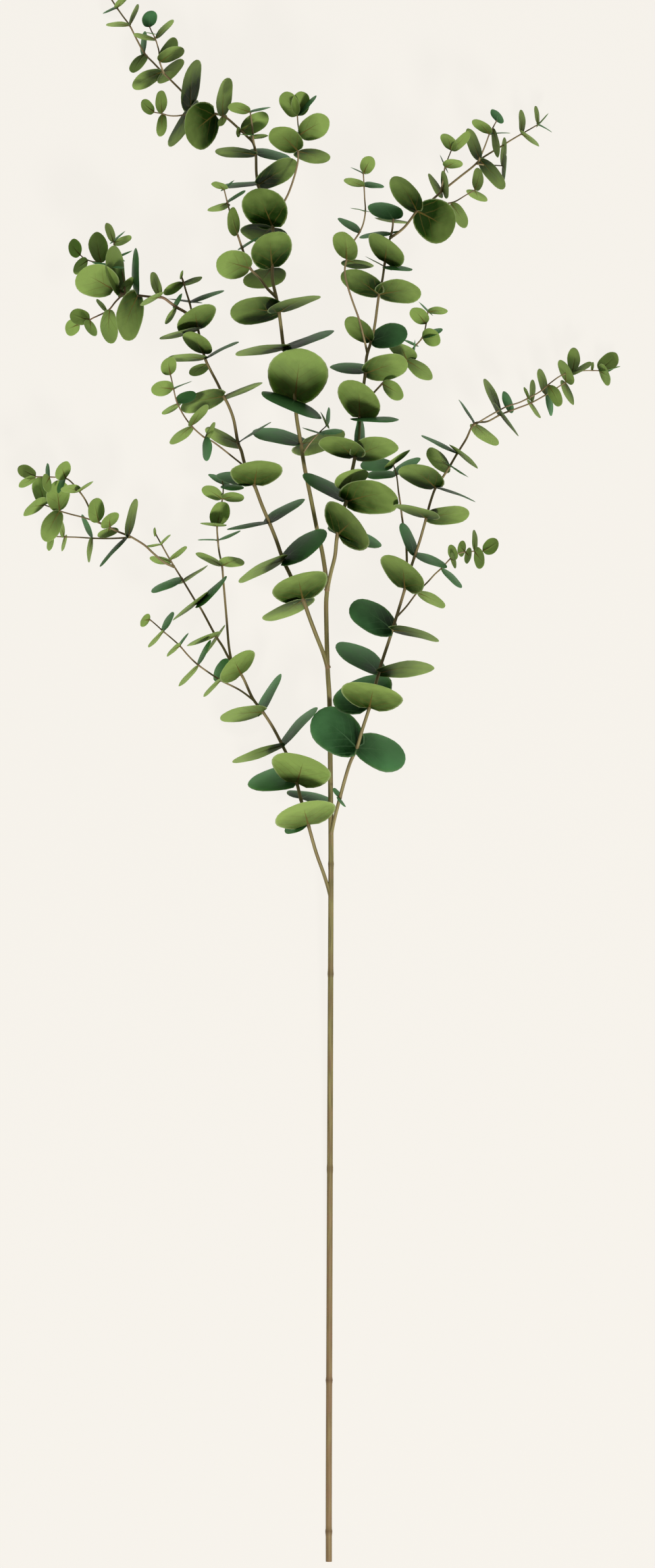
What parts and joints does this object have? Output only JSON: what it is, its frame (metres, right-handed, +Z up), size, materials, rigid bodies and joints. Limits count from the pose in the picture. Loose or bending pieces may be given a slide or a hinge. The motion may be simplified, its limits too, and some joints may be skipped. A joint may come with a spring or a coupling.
{
  "type": "eucalyptus branch",
  "caption": "Cut eucalyptus branch lying flat, with a long bare stem that forks into leafy shoots and round silver-dollar leaves in facing pairs.",
  "frame": {"origin": "on the surface that the branch lies on, under the flat underside of the bare stem, 30 mm from its cut end", "axes": "+Y along the bare stem towards the leaves, +X to the right as seen from above with the leaves ahead, +Z up from the surface"},
  "size_m": [0.4435, 1.1647, 0.1214],
  "materials": {
    "stem_and_leaves": "satin bark, matte leaves",
    "leaves": "matte"
  },
  "bodies": {
    "root": {"main_stem": "stem_and_leaves", "top_twig": "leaves", "inner_twig": "leaves", "low_left_shoot": "leaves", "low_left_outer_twig": "leaves", "low_left_inner_twig": "leaves", "far_left_spray": "leaves", "left_shoot": "leaves", "left_inner_twig": "leaves", "left_outer_spray": "leaves", "right_shoot": "leaves", "right_inner_twig": "leaves", "right_outer_twig": "leaves", "top_right_spray": "leaves", "low_right_shoot": "leaves", "low_right_inner_twig": "leaves", "low_right_side_twig": "leaves"}
  },
  "joints": []
}
